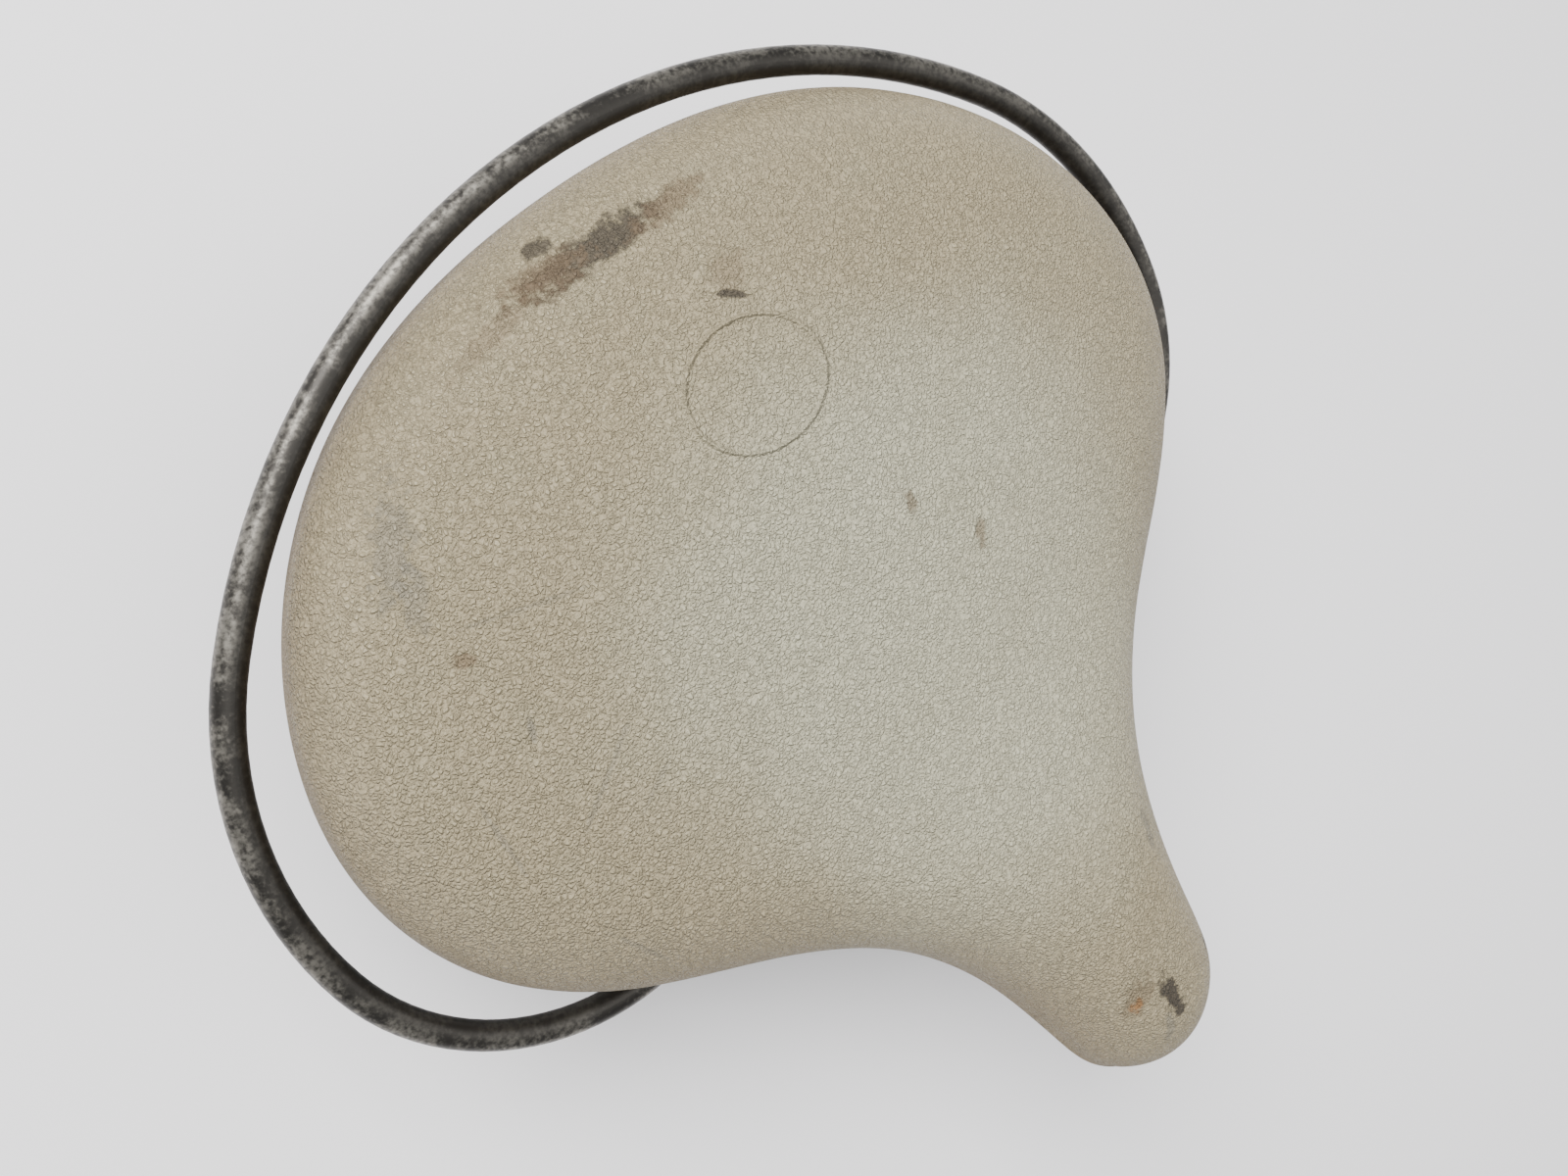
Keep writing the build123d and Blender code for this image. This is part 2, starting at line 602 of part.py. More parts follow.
def make_outer_cheek():
    """The left outer cheek, outside the wire, with a spacer boss to the inner one."""
    cheek = cheek_plate(JAW_OUTER - CHEEK_PLATE, JAW_OUTER)
    cheek += jaw(WIRE_HALF_SPACING + JAW_SPLIT, JAW_OUTER)
    boss_start = CHEEK_INNER + CHEEK_PLATE + CHEEK_GAP
    cheek += crosswise(boss_start, JAW_OUTER, CLAMP_BOLT_Y, 0, SPACER_RADIUS)
    return cheek - bolt_hole()


# --- the assembly ------------------------------------------------------------------------------------------
def fastener_nodes():
    """Screws, nuts and washers, each at its place."""
    nodes = {}
    stack = BRIDGE_TOP - SPRING_HIGH
    m6_bolt = screw(M6_RADIUS, M6_HEX, M6_HEAD, stack + M6_NUT + M6_TAIL)
    m6_nut = nut(M6_RADIUS, M6_HEX, M6_NUT)
    m6_washer = washer(M6_RADIUS, M6_WASHER_RADIUS, M6_WASHER_THICK)
    lower_bolt = screw(M6_RADIUS, M6_HEX, M6_HEAD, SPRING_LOW - CROSSBAR_LOW + M6_NUT + M6_TAIL)
    tab_low = RAIL_TAB_HEIGHT - TAB_THICK / 2 - M6_WASHER_THICK
    rail_bolt = screw(M6_RADIUS, M6_HEX, M6_HEAD, BRACKET_TOP - tab_low + M6_NUT + M6_TAIL)
    for side, sign in SIDES.items():
        spring = (sign * SPRING_HALF_SPACING, BRIDGE_Y)
        tab = (sign * TAB_HOLE, BRACKET_Y)
        nodes[f"upper_spring_bolt_{side}"] = Pos(*spring, SPRING_HIGH) * m6_bolt
        nodes[f"upper_spring_nut_{side}"] = Pos(*spring, BRIDGE_TOP) * m6_nut
        nodes[f"lower_spring_bolt_{side}"] = Pos(*spring, SPRING_LOW) * Rot(180, 0, 0) * lower_bolt
        nodes[f"lower_spring_nut_{side}"] = Pos(*spring, CROSSBAR_LOW - M6_NUT) * m6_nut
        nodes[f"rail_bolt_{side}"] = Pos(*tab, tab_low) * rail_bolt
        nodes[f"rail_washer_{side}"] = Pos(*tab, tab_low) * m6_washer
        nodes[f"rail_nut_{side}"] = Pos(*tab, BRACKET_TOP) * m6_nut
        washer_place = Pos(sign * JAW_OUTER, CLAMP_BOLT_Y, 0) * Rot(0, sign * 90, 0)
        nodes[f"clamp_washer_{side}"] = washer_place * washer(M8_RADIUS, M8_WASHER_RADIUS, M8_WASHER_THICK)
    reach = JAW_OUTER + M8_WASHER_THICK
    clamp_bolt = screw(M8_RADIUS, M8_HEX, M8_HEAD, 2 * reach + M8_NUT + M8_TAIL)
    nodes["clamp_bolt"] = Pos(-reach, CLAMP_BOLT_Y, 0) * Rot(0, 90, 0) * clamp_bolt
    nodes["clamp_nut"] = Pos(reach, CLAMP_BOLT_Y, 0) * Rot(0, 90, 0) * nut(M8_RADIUS, M8_HEX, M8_NUT)
    return nodes


def assembly():
    nodes = {
        "cover": make_cover(),
        "padding": make_padding(),
        "seat_pan": make_seat_pan(),
        "hem_band": make_hem_band(),
        "crash_rail": make_crash_rail(),
        "rail_bracket": make_rail_bracket(),
        "rear_bridge": make_rear_bridge(),
        "nose_bracket": make_nose_bracket(),
        "chassis_wire": make_chassis_wire(),
        "rear_crossbar": make_rear_crossbar(),
        "post_collar": make_post_collar(),
    }
    for name, (x, y) in RIVETS.items():
        nodes[name] = make_rivet(x, y)
    spring, cup = make_coil_spring(), make_cup()
    inner, outer = make_inner_cheek(), make_outer_cheek()
    for side, sign in SIDES.items():
        place = Pos(sign * SPRING_HALF_SPACING, BRIDGE_Y, 0)
        nodes[f"coil_spring_{side}"] = place * spring
        nodes[f"lower_spring_cup_{side}"] = place * Pos(0, 0, SPRING_LOW - CUP_THICK) * cup
        nodes[f"upper_spring_cup_{side}"] = place * Pos(0, 0, BRIDGE_UNDER) * Rot(180, 0, 0) * cup
        nodes[f"inner_cheek_{side}"] = inner if sign > 0 else inner.mirror(Plane.YZ)
        nodes[f"outer_cheek_{side}"] = outer if sign > 0 else outer.mirror(Plane.YZ)
    nodes.update(fastener_nodes())
    return nodes


for node_name, shape in assembly().items():
    export_step(shape, f"parts/{node_name}.step")
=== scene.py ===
import json
import math

import bmesh
import bpy
import numpy as np
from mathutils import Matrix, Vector, noise


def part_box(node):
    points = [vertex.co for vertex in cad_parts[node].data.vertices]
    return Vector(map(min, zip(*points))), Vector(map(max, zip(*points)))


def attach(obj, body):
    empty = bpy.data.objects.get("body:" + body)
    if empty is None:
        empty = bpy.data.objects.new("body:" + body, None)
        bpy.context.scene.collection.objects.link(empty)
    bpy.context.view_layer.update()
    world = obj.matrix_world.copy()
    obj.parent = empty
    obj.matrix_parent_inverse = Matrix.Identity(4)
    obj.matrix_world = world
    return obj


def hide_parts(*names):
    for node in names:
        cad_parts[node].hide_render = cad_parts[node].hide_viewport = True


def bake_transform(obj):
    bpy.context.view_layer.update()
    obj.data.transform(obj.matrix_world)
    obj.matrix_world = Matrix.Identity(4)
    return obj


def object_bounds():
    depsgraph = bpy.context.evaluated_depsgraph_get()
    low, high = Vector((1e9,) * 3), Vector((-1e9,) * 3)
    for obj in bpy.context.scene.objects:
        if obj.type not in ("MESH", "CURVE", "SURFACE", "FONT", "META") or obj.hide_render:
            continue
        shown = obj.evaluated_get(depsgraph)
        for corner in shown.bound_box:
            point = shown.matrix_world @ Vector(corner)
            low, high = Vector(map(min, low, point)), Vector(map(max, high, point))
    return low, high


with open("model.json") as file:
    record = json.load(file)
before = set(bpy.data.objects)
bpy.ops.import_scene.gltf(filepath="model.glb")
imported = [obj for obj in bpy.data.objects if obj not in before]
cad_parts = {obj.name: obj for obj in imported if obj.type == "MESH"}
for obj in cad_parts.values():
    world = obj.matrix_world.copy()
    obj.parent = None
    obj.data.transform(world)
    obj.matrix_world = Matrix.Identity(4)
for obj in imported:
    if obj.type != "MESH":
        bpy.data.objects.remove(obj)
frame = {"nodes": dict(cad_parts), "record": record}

LOW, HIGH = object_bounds()

bl_info = {
    "name": "Sprung Saddle",
    "version": (1, 0, 0),
    "blender": (4, 5, 0),
    "location": "View3D > Sidebar > Saddle",
    "description": "A wide sprung saddle with an ivory vinyl cover and a steel rod hoop",
    "category": "Object",
}

# The cover's outline from the middle of the rear edge to the nose tip:
# (share of the half width, share of the length).
OUTLINE = [
    (0.0, 0.0),
    (0.60, 0.064),
    (0.90, 0.20),
    (1.0, 0.345),
    (0.945, 0.465),
    (0.7875, 0.556),
    (0.533, 0.636),
    (0.35, 0.716),
    (0.24, 0.82),
    (0.20, 0.912),
    (0.173, 0.956),
    (0.10, 0.988),
    (0.0, 1.0),
]
# The middle line of its top: (share of the length, metres above the hem).
SPINE = [
    (-0.2, 0.0210),
    (0.0, 0.0320),
    (0.164, 0.0390),
    (0.384, 0.0375),
    (0.584, 0.0325),
    (0.796, 0.0320),
    (1.0, 0.0255),
    (1.2, 0.0170),
]
SPRING_SIDES = ("left", "right")
SPRING_WIRE = 0.0046
SPRING_TURNS = 6.0
# The top's rings close on its middle line, this far inside the nose and the rear.
NOSE_REACH = 0.026
REAR_REACH = 0.070
PLEAT_HEIGHT = 0.0004
FLANK_BULGE = 0.0006
FLOOR_HALF = 6.0


# --- settings -------------------------------------------------------------------
def metres(label, text, value):
    return bpy.props.FloatProperty(name=label, description=text, default=value, unit="LENGTH", precision=4)


def tint(label, text, value):
    return bpy.props.FloatVectorProperty(name=label, description=text, default=value, subtype="COLOR", size=3)


class SaddleShape(bpy.types.PropertyGroup):
    edge_height: metres("Edge height", "Height of the cover's rounded upper edge", 0.0125)
    edge_width: metres("Edge width", "Width of the cover's rounded upper edge", 0.020)
    crown_drop: metres("Crown drop", "Fall of the top from its middle to its edge", 0.012)
    nose_half: metres("Nose crown", "Half width over which the nose falls that far", 0.032)
    rim_rise: metres("Rim rise", "How far both ends of the hem curve up", 0.0065)
    hem_width: metres("Hem width", "Vinyl turned under the pan", 0.012)
    vinyl_thick: metres("Vinyl thickness", "Thickness of the cover", 0.0012)
    pad_inset: metres("Pad inset", "Padding inside the cover's outer face", 0.0016)
    pad_thick: metres("Pad thickness", "Thickness of the padding at the side", 0.0028)
    softness: metres("Softness", "Height of the slow swells in the stuffed top", 0.0007)
    around: bpy.props.IntProperty(
        name="Points around", description="Points around the outline", default=264, min=48)


class SaddleFinish(bpy.types.PropertyGroup):
    vinyl: tint("Vinyl", "Ivory vinyl", (0.475, 0.455, 0.325))
    aged: tint("Aged vinyl", "Yellowed vinyl away from the middle", (0.335, 0.275, 0.165))
    # Brown for grime and for painted shade: it darkens the low flank under the rounded edge and the grain
    # creases.
    grime_and_shade: tint("Grime", "Brown grime in the folds", (0.17, 0.115, 0.065))
    plating: tint("Plating", "Dark plating of the rod", (0.040, 0.037, 0.033))
    rubbed: tint("Rubbed steel", "Steel where the plating is rubbed thin", (0.23, 0.215, 0.185))
    grain: metres("Grain size", "Width of one pebble of the vinyl grain", 0.00095)


class SaddleStage(bpy.types.PropertyGroup):
    camera: bpy.props.FloatVectorProperty(
        name="Camera", description="Place of the camera", subtype="TRANSLATION", size=3,
        default=(-0.1093, 0.0859, 0.3169))
    aim: bpy.props.FloatVectorProperty(
        name="Camera turn", description="Turn of the camera", subtype="EULER", size=3,
        default=(math.radians(4.332), math.radians(-23.920), math.radians(-40.370)))
    lens: bpy.props.FloatProperty(
        name="Lens", description="Focal length in millimetres", default=28.8)
    floor: tint("Floor", "Pale floor", (0.97, 0.955, 0.965))


# --- shader helpers ----------------------------------------------------------------
def node(tree, kind, links=(), **settings):
    """Adds a shader node: settings are attributes, links are (input, source) pairs."""
    made = tree.nodes.new(kind)
    for name, value in settings.items():
        setattr(made, name, value)
    for socket, source in links:
        target = made.inputs[socket]
        if isinstance(source, bpy.types.NodeSocket):
            tree.links.new(source, target)
        else:
            target.default_value = source
    return made


def maths(tree, operation, first, second=0.0, clamp=False):
    made = node(tree, "ShaderNodeMath", [(0, first), (1, second)], operation=operation, use_clamp=clamp)
    return made.outputs[0]


def scaled(tree, value, factor):
    return maths(tree, "MULTIPLY", value, factor)


def flipped(tree, value):
    return maths(tree, "SUBTRACT", 1.0, value)


def vectors(tree, operation, first, second=(0.0, 0.0, 0.0)):
    made = node(tree, "ShaderNodeVectorMath", [(0, first), (1, second)], operation=operation)
    return made.outputs["Value" if operation in {"LENGTH", "DOT_PRODUCT", "DISTANCE"} else "Vector"]


def ramp(tree, value, low, high):
    """A smooth step from 0 at low to 1 at high."""
    made = node(tree, "ShaderNodeMapRange", [("Value", value), ("From Min", low), ("From Max", high)],
                interpolation_type="SMOOTHSTEP")
    return made.outputs["Result"]


def blend_colour(tree, factor, first, second):
    made = node(tree, "ShaderNodeMix", data_type="RGBA")
    for socket, source in ((0, factor), (6, first), (7, second)):
        if isinstance(source, bpy.types.NodeSocket):
            tree.links.new(source, made.inputs[socket])
        elif socket == 0:
            made.inputs[0].default_value = source
        else:
            made.inputs[socket].default_value = (*source[:3], 1.0)
    return made.outputs[2]


def noise_value(tree, place, scale, detail=4.0, roughness=0.55):
    made = node(tree, "ShaderNodeTexNoise",
                [("Vector", place), ("Scale", scale), ("Detail", detail), ("Roughness", roughness)])
    return made.outputs["Fac"]


def new_group(name, inputs, outputs):
    """An empty shader node group with named inputs and outputs."""
    group = bpy.data.node_groups.new(name, "ShaderNodeTree")
    for label, kind, default in inputs:
        socket = group.interface.new_socket(label, in_out="INPUT", socket_type=kind)
        if default is not None:
            socket.default_value = default
    for label, kind in outputs:
        group.interface.new_socket(label, in_out="OUTPUT", socket_type=kind)
    start = group.nodes.new("NodeGroupInput")
    end = group.nodes.new("NodeGroupOutput")
    return group, start.outputs, end.inputs


def place_group(tree, group, **values):
    made = tree.nodes.new("ShaderNodeGroup")
    made.node_tree = group
    for label, value in values.items():
        socket = made.inputs[label.replace("_", " ")]
        if isinstance(value, bpy.types.NodeSocket):
            tree.links.new(value, socket)
        else:
            socket.default_value = value
    return made.outputs


def shared_group(name, build):
    return bpy.data.node_groups.get(name) or build(name)


# --- shared effects --------------------------------------------------------------------
def build_vinyl_grain(name):
    """Pebbles with creases between them, as embossed into leathercloth."""
    group, given, out = new_group(
        name,
        [("Place", "NodeSocketVector", None), ("Size", "NodeSocketFloat", 0.0013)],
        [("Height", "NodeSocketFloat"), ("Crease", "NodeSocketFloat")])
    scale = maths(group, "DIVIDE", 1.0, given["Size"])
    warp = node(group, "ShaderNodeTexNoise",
                [("Vector", given["Place"]), ("Scale", scaled(group, scale, 0.45)), ("Detail", 3.0)])
    shift = vectors(group, "SUBTRACT", warp.outputs["Color"], (0.5, 0.5, 0.5))
    length = node(group, "ShaderNodeVectorMath", [(0, shift)], operation="SCALE")
    group.links.new(maths(group, "MULTIPLY", given["Size"], 1.5), length.inputs["Scale"])
    bent = vectors(group, "ADD", given["Place"], length.outputs[0])
    edge = node(group, "ShaderNodeTexVoronoi", [("Vector", bent), ("Scale", scale), ("Randomness", 1.0)],
                feature="DISTANCE_TO_EDGE")
    wide = node(group, "ShaderNodeTexVoronoi",
                [("Vector", bent), ("Scale", maths(group, "MULTIPLY", scale, 0.42)), ("Randomness", 1.0)],
                feature="DISTANCE_TO_EDGE")
    pebble = ramp(group, edge.outputs["Distance"], 0.0, 0.32)
    fold = ramp(group, wide.outputs["Distance"], 0.0, 0.10)
    fine = noise_value(group, given["Place"], maths(group, "MULTIPLY", scale, 2.2), 3.0)
    height = maths(group, "ADD", scaled(group, pebble, 0.65), scaled(group, fold, 0.35))
    height = maths(group, "ADD", height, maths(group, "MULTIPLY", fine, 0.25))
    group.links.new(height, out["Height"])
    crease = scaled(group, flipped(group, pebble), 0.7)
    crease = maths(group, "ADD", crease, scaled(group, flipped(group, fold), 0.4), True)
    group.links.new(crease, out["Crease"])
    return group


def build_stain(name):
    """A ragged oval patch around a centre, seen from above."""
    group, given, out = new_group(
        name,
        [("Place", "NodeSocketVector", None), ("Centre", "NodeSocketVector", (0, 0, 0)),
         ("Size", "NodeSocketVector", (0.005, 0.005, 1.0)), ("Turn", "NodeSocketFloat", 0.0),
         ("Ragged", "NodeSocketFloat", 0.5), ("Soft", "NodeSocketFloat", 0.3)],
        [("Mask", "NodeSocketFloat")])
    offset = vectors(group, "SUBTRACT", given["Place"], given["Centre"])
    turned = node(group, "ShaderNodeVectorRotate", [("Vector", offset), ("Angle", given["Turn"])],
                  rotation_type="Z_AXIS").outputs[0]
    reach = vectors(group, "LENGTH", vectors(group, "DIVIDE", turned, given["Size"]))
    rough = noise_value(group, given["Place"], 420.0, 5.0, 0.65)
    rough = maths(group, "MULTIPLY", maths(group, "SUBTRACT", rough, 0.5), given["Ragged"])
    reach = maths(group, "ADD", reach, maths(group, "MULTIPLY", rough, 4.0))
    outer = maths(group, "ADD", 1.0, given["Soft"])
    inner = maths(group, "SUBTRACT", 1.0, given["Soft"])
    group.links.new(flipped(group, ramp(group, reach, inner, outer)), out["Mask"])
    return group


def build_oval_ring(name):
    """A plain raised oval line around a centre."""
    group, given, out = new_group(
        name,
        [("Place", "NodeSocketVector", None), ("Centre", "NodeSocketVector", (0, 0, 0)),
         ("Size", "NodeSocketVector", (0.015, 0.012, 1.0)), ("Line", "NodeSocketFloat", 0.06)],
        [("Mask", "NodeSocketFloat")])
    offset = vectors(group, "SUBTRACT", given["Place"], given["Centre"])
    flat = vectors(group, "MULTIPLY", vectors(group, "DIVIDE", offset, given["Size"]), (1.0, 1.0, 0.0))
    away = maths(group, "ABSOLUTE", maths(group, "SUBTRACT", vectors(group, "LENGTH", flat), 1.0))
    mask = flipped(group, ramp(group, away, 0.0, given["Line"]))
    group.links.new(mask, out["Mask"])
    return group


def build_worn_metal(name):
    """Patches where a finish is rubbed through, and pits of rust."""
    group, given, out = new_group(
        name,
        [("Place", "NodeSocketVector", None), ("Scale", "NodeSocketFloat", 120.0),
         ("Wear", "NodeSocketFloat", 0.5), ("Rust", "NodeSocketFloat", 0.3)],
        [("Rubbed", "NodeSocketFloat"), ("Rusty", "NodeSocketFloat"), ("Height", "NodeSocketFloat")])
    broad = noise_value(group, given["Place"], given["Scale"], 6.0, 0.62)
    fine = noise_value(group, given["Place"], maths(group, "MULTIPLY", given["Scale"], 9.0), 4.0, 0.6)
    mottle = maths(group, "ADD", maths(group, "MULTIPLY", broad, 0.65), maths(group, "MULTIPLY", fine, 0.35))
    start = maths(group, "SUBTRACT", 0.78, maths(group, "MULTIPLY", given["Wear"], 0.5))
    rubbed = ramp(group, mottle, start, maths(group, "ADD", start, 0.16))
    group.links.new(rubbed, out["Rubbed"])
    spots = noise_value(group, given["Place"], maths(group, "MULTIPLY", given["Scale"], 2.7), 7.0, 0.7)
    edge = maths(group, "SUBTRACT", 0.80, maths(group, "MULTIPLY", given["Rust"], 0.4))
    group.links.new(ramp(group, spots, edge, maths(group, "ADD", edge, 0.07)), out["Rusty"])
    group.links.new(maths(group, "ADD", fine, maths(group, "MULTIPLY", broad, 0.5)), out["Height"])
    return group


def new_material(name):
    material = bpy.data.materials.new(name)
    material.use_nodes = True
    tree = material.node_tree
    shader = tree.nodes["Principled BSDF"]
    place = node(tree, "ShaderNodeTexCoord").outputs["Object"]
    return material, tree, shader, place


def add_bump(tree, shader, height, distance, strength=1.0):
    bump = node(tree, "ShaderNodeBump", [("Height", height), ("Distance", distance), ("Strength", strength)])
    tree.links.new(bump.outputs["Normal"], shader.inputs["Normal"])


# --- materials ----------------------------------------------------------------------------
DARK = (0.035, 0.027, 0.020)
BROWN = (0.15, 0.10, 0.055)
GREY = (0.19, 0.175, 0.14)
RUST = (0.28, 0.13, 0.04)
# Marks on the vinyl, in millimetres and degrees:
# (x, y, half length, half width, turn, ragged, strength, colour).
MARKS = [
    (-9.0, 109.0, 17.0, 3.2, 0.0, 0.75, 0.85, DARK),
    (-20.0, 110.0, 9.0, 3.4, -8.0, 0.8, 0.6, BROWN),
    (-16.5, 115.5, 3.4, 1.8, 0.0, 0.7, 0.8, DARK),
    (10.0, 108.0, 9.0, 2.6, 6.0, 0.85, 0.6, BROWN),
    (-34.0, 107.0, 10.0, 2.0, 12.0, 0.8, 0.4, BROWN),
    (-74.5, 87.0, 10.0, 3.6, 50.0, 0.95, 0.45, GREY),
    (-77.0, 78.0, 6.0, 2.4, 60.0, 0.95, 0.4, GREY),
    (10.0, 91.0, 4.6, 3.6, 40.0, 0.9, 0.35, BROWN),
    (7.6, 86.6, 3.4, 0.8, -38.0, 0.7, 0.85, DARK),
    (13.7, 30.6, 2.6, 1.1, 75.0, 0.9, 0.6, BROWN),
    (24.7, 14.8, 3.0, 1.2, 62.0, 0.9, 0.6, BROWN),
    (-75.6, 46.2, 2.6, 0.7, 65.0, 0.4, 0.5, GREY),
    (-77.2, 63.5, 1.9, 1.4, 0.0, 0.8, 0.65, BROWN),
    (-62.0, 64.0, 13.0, 0.5, -20.0, 0.9, 0.25, GREY),
    (-70.0, 30.0, 11.0, 0.6, 30.0, 0.9, 0.3, GREY),
    (-64.0, 22.0, 8.0, 0.5, 25.0, 0.9, 0.25, GREY),
    (-84.5, -3.5, 8.5, 0.45, -68.0, 0.7, 0.35, GREY),
    (-92.0, 33.5, 8.0, 0.5, 85.0, 0.7, 0.35, GREY),
    (-40.0, 44.0, 14.0, 0.4, -12.0, 0.9, 0.15, GREY),
    (18.3, -67.5, 4.6, 1.2, 70.0, 0.8, 0.55, GREY),
    (-1.6, -100.5, 5.6, 2.3, 88.0, 0.75, 0.9, DARK),
    (-8.5, -93.5, 5.0, 3.4, 20.0, 0.85, 0.45, BROWN),
    (-10.1, -95.2, 1.8, 1.3, 20.0, 0.7, 0.8, RUST),
    (-6.0, -107.0, 3.6, 1.2, 60.0, 0.8, 0.5, GREY),
    (17.0, -103.0, 2.0, 1.0, 60.0, 0.6, 0.8, DARK),
]


def vinyl_material(finish):
    """Aged ivory leathercloth with grain, yellowing, marks, and grime with painted shade on the low flank and
    in the grain creases.
    """
    material, tree, shader, place = new_material("Ivory Vinyl")
    split = node(tree, "ShaderNodeSeparateXYZ", [("Vector", place)]).outputs
    low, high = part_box("cover")
    grain = shared_group("Vinyl Grain", build_vinyl_grain)
    grain = place_group(tree, grain, Place=place, Size=finish.grain)
    slow = noise_value(tree, place, 14.0, 5.0)
    mid = noise_value(tree, place, 70.0, 5.0, 0.65)
    middle = vectors(tree, "SUBTRACT", place, (0.008, 0.005, 0.0))
    middle = vectors(tree, "MULTIPLY", middle, (1.0, 1.0, 0.0))
    edge = ramp(tree, vectors(tree, "LENGTH", middle), 0.020, 0.105)
    age = maths(tree, "ADD", maths(tree, "MULTIPLY", edge, 0.55), maths(tree, "MULTIPLY", slow, 0.55))
    age = maths(tree, "MULTIPLY", ramp(tree, age, 0.22, 0.80), 0.9)
    colour = blend_colour(tree, age, finish.vinyl, finish.aged)
    dull = maths(tree, "MULTIPLY", ramp(tree, mid, 0.45, 0.75), 0.28)
    colour = blend_colour(tree, dull, colour, (0.34, 0.315, 0.205))
    # Painted shade with grime: the cover darkens towards its hem, below its rounded upper edge, more so
    # towards the rear.
    level = maths(tree, "ADD", split[2], scaled(tree, mid, -0.012))
    lower = ramp(tree, level, high[2] - 0.012, low[2] + 0.002)
    behind = ramp(tree, split[1], 0.0, high[1])
    flank = maths(tree, "MULTIPLY", lower, maths(tree, "ADD", 0.45, maths(tree, "MULTIPLY", behind, 0.5)))
    colour = blend_colour(tree, maths(tree, "MULTIPLY", flank, 0.85, True), colour, finish.grime_and_shade)
    # Painted shade with some grime in the grain creases, stronger on the low flank.
    crease = maths(tree, "MULTIPLY", grain["Crease"], maths(tree, "ADD", 0.17, scaled(tree, flank, 0.4)))
    colour = blend_colour(tree, crease, colour, finish.grime_and_shade)
    stain = shared_group("Ragged Mark", build_stain)
    bare = 0.0
    for x, y, length, width, turn, ragged, strength, tint in MARKS:
        mark = place_group(
            tree, stain, Place=place, Centre=(x / 1000, y / 1000, high[2]),
            Size=(length / 1000, width / 1000, 1.0), Turn=math.radians(-turn),
            Ragged=ragged, Soft=0.35)["Mask"]
        mark = maths(tree, "MULTIPLY", mark, strength)
        colour = blend_colour(tree, mark, colour, tint)
        bare = maths(tree, "MAXIMUM", bare, mark)
    tree.links.new(colour, shader.inputs["Base Color"])
    rough = maths(tree, "ADD", 0.40, maths(tree, "MULTIPLY", grain["Crease"], 0.18))
    rough = maths(tree, "ADD", rough, maths(tree, "MULTIPLY", maths(tree, "MAXIMUM", bare, flank), 0.28))
    tree.links.new(rough, shader.inputs["Roughness"])
    ring = place_group(tree, shared_group("Oval Ring", build_oval_ring), Place=place,
                       Centre=(0.0004, 0.0700, high[2]), Size=(0.0162, 0.0130, 1.0), Line=0.055)["Mask"]
    height = maths(tree, "ADD", grain["Height"], scaled(tree, ring, 1.6))
    height = maths(tree, "SUBTRACT", height, scaled(tree, bare, 0.8))
    add_bump(tree, shader, height, 0.0006, 1.0)
    shader.inputs["Specular IOR Level"].default_value = 0.45
    return material


def worn_material(name, base, rubbed, metallic, roughness, wear, rust, scale=140.0):
    """A painted or plated steel that is rubbed through in places."""
    material, tree, shader, place = new_material(name)
    worn = shared_group("Worn Metal", build_worn_metal)
    worn = place_group(tree, worn, Place=place, Scale=scale, Wear=wear, Rust=rust)
    colour = blend_colour(tree, worn["Rubbed"], base, rubbed)
    colour = blend_colour(tree, maths(tree, "MULTIPLY", worn["Rusty"], 0.8), colour, (0.17, 0.06, 0.02))
    tree.links.new(colour, shader.inputs["Base Color"])
    rough = maths(tree, "ADD", roughness, maths(tree, "MULTIPLY", worn["Rusty"], 0.35))
    rough = maths(tree, "ADD", rough, maths(tree, "MULTIPLY", worn["Height"], 0.12))
    tree.links.new(rough, shader.inputs["Roughness"])
    metal = maths(tree, "MULTIPLY", maths(tree, "SUBTRACT", 1.0, worn["Rusty"]), metallic)
    tree.links.new(metal, shader.inputs["Metallic"])
    add_bump(tree, shader, worn["Height"], 0.00006, 0.6)
    return material


def rod_material(finish):
    """The hoop: dark plating, mottled and rubbed, lighter towards its outward-facing side and darker on the
    side facing in.
    """
    material, tree, shader, place = new_material("Worn Rod Plating")
    facing = node(tree, "ShaderNodeTexCoord").outputs["Normal"]
    middle = (0.0, 0.02, 0.0)
    outward = vectors(tree, "SUBTRACT", place, middle)
    outward = vectors(tree, "NORMALIZE", vectors(tree, "MULTIPLY", outward, (1, 1, 0)))
    # The patches grow lighter as the surface turns outward from the seat's middle, and the side facing in
    # keeps the dark plating.
    outer = ramp(tree, vectors(tree, "DOT_PRODUCT", facing, outward), -0.35, 0.55)
    worn = shared_group("Worn Metal", build_worn_metal)
    worn = place_group(tree, worn, Place=place, Scale=95.0, Wear=0.72, Rust=0.25)
    drawn = vectors(tree, "MULTIPLY", place, (1.0, 1.0, 0.35))
    streak = noise_value(tree, drawn, 900.0)
    bright = maths(tree, "MULTIPLY", worn["Rubbed"], maths(tree, "ADD", 0.15, scaled(tree, outer, 0.85)))
    bright = maths(tree, "MULTIPLY", bright, ramp(tree, streak, 0.25, 0.62))
    colour = blend_colour(tree, bright, finish.plating, finish.rubbed)
    colour = blend_colour(tree, maths(tree, "MULTIPLY", worn["Rusty"], 0.45), colour, (0.12, 0.055, 0.025))
    tree.links.new(colour, shader.inputs["Base Color"])
    rough = maths(tree, "ADD", 0.30, maths(tree, "MULTIPLY", worn["Height"], 0.16))
    rough = maths(tree, "ADD", rough, maths(tree, "MULTIPLY", worn["Rusty"], 0.3))
    tree.links.new(rough, shader.inputs["Roughness"])
    shader.inputs["Metallic"].default_value = 0.85
    add_bump(tree, shader, worn["Height"], 0.00008, 0.7)
    return material


